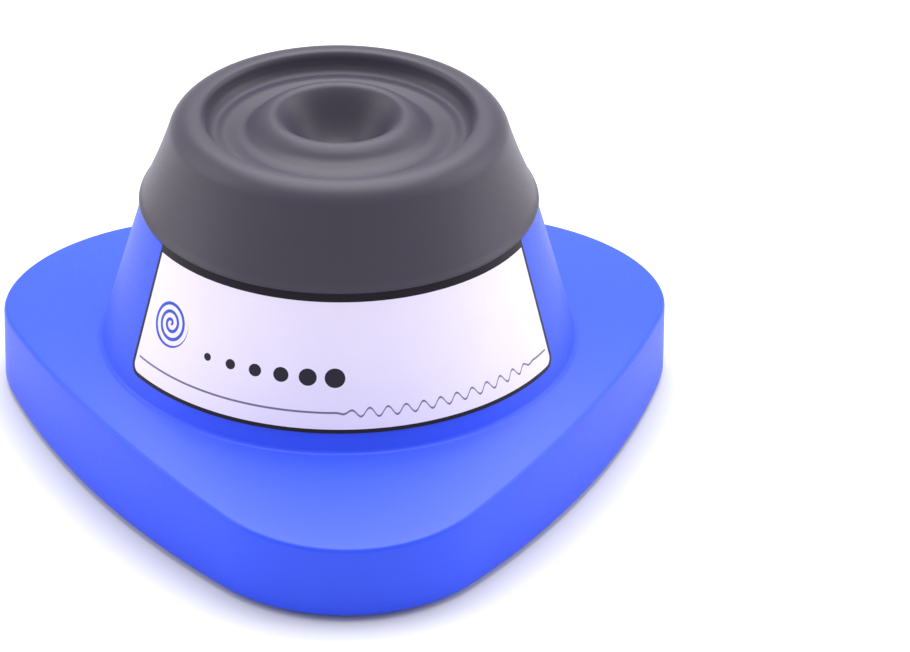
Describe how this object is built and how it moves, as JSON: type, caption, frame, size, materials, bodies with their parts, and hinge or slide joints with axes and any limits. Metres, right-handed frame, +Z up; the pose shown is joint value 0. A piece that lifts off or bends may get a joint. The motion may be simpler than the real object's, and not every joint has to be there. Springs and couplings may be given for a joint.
{
  "type": "vortex mixer",
  "caption": "Touch-start vortex mixer: three-cornered blue housing, round tower and a dark rubber cap whose dished cup orbits when pressed.",
  "frame": {"origin": "on the bench, under the middle of the housing's footprint", "axes": "+Z up; the front corner points along -Y and the power inlet is at the back, along +Y; +X is to the right seen from the front"},
  "size_m": [0.131, 0.1256, 0.0675],
  "materials": {
    "blue_shell": "satin moulded ABS",
    "dark_cover": "fine-textured moulded ABS",
    "label_film": "printed film with a dark border",
    "ballast_steel": "zinc-plated plate",
    "screw_steel": "zinc-plated",
    "foot_rubber": "moulded rubber",
    "cap_rubber": "soft moulded silicone, matt",
    "white_nylon": "moulded nylon",
    "bearing_steel": "ground steel",
    "brass": "turned brass",
    "weight_steel": "sawn steel",
    "black_screw": "black oxide",
    "lamination_steel": "stacked laminations",
    "copper_wire": "enamelled wire",
    "copper_bar": "turned copper",
    "zinc_can": "drawn zinc-plated steel",
    "ferrite": "ferrite",
    "brush_brass": "stamped brass",
    "bracket_steel": "stamped plate",
    "spring_steel": "drawn wire",
    "switch_black": "moulded",
    "plunger_red": "moulded",
    "board_green": "solder mask",
    "board_black": "moulded packages",
    "inlet_nickel": "nickel plated",
    "lead_red": "extruded insulation",
    "lead_black": "extruded insulation"
  },
  "bodies": {
    "base": {"upper_housing": "blue_shell", "bottom_cover": "dark_cover", "front_label": "label_film", "ballast_plate": "ballast_steel", "ballast_screws": "screw_steel", "cover_screws": "screw_steel", "foot_front": "foot_rubber", "foot_left": "foot_rubber", "foot_right": "foot_rubber", "rubber_skirt": "cap_rubber", "rubber_diaphragm": "cap_rubber", "guide_screws": "screw_steel", "press_springs": "spring_steel", "limit_switch": "switch_black", "switch_screws": "screw_steel", "control_board": "board_green", "board_parts": "board_black", "board_screws": "screw_steel", "inlet_socket": "switch_black", "inlet_pin": "inlet_nickel", "motor_leads": "lead_red", "switch_leads": "lead_black"},
    "carriage": {"motor_bracket": "bracket_steel", "motor_can": "zinc_can", "motor_magnets": "ferrite", "motor_end_cap": "white_nylon", "motor_brushes": "brush_brass", "motor_terminals": "brush_brass", "motor_screws": "screw_steel"},
    "rotor": {"motor_shaft": "bearing_steel", "armature_core": "lamination_steel", "armature_windings": "copper_wire", "commutator": "copper_bar", "eccentric_hub": "brass", "counterweight": "weight_steel", "hub_set_screw": "black_screw", "bearing_inner_race": "bearing_steel"},
    "cup_head": {"rubber_cup": "cap_rubber", "cup_insert": "white_nylon", "bearing_outer_race": "bearing_steel", "bearing_balls": "bearing_steel"},
    "plunger": {"switch_plunger": "plunger_red"}
  },
  "joints": [
    {"name": "press", "type": "slide", "parent": "base", "child": "carriage", "axis": [0, 0, 1], "range_m": [-0.0015, 0], "stiffness_N_per_m": 2500, "springref_m": 0.002, "deforming": ["press_springs", "rubber_diaphragm", "motor_leads"]},
    {"name": "motor_spin", "type": "hinge", "parent": "carriage", "child": "rotor", "pos_m": [0, 0.00807, 0.04], "axis": [0, 0, 1], "continuous": true},
    {"name": "cup_pivot", "type": "hinge", "parent": "rotor", "child": "cup_head", "pos_m": [0, 0.01007, 0.0509], "axis": [0, 0, 1], "continuous": true},
    {"name": "plunger_slide", "type": "slide", "parent": "base", "child": "plunger", "axis": [0, 0, 1], "range_m": [-0.0009, 0]}
  ],
  "couplings": [
    {"joint": "cup_pivot", "follows": "motor_spin", "ratio": -1},
    {"joint": "plunger_slide", "follows": "press", "ratio": 0.6}
  ]
}
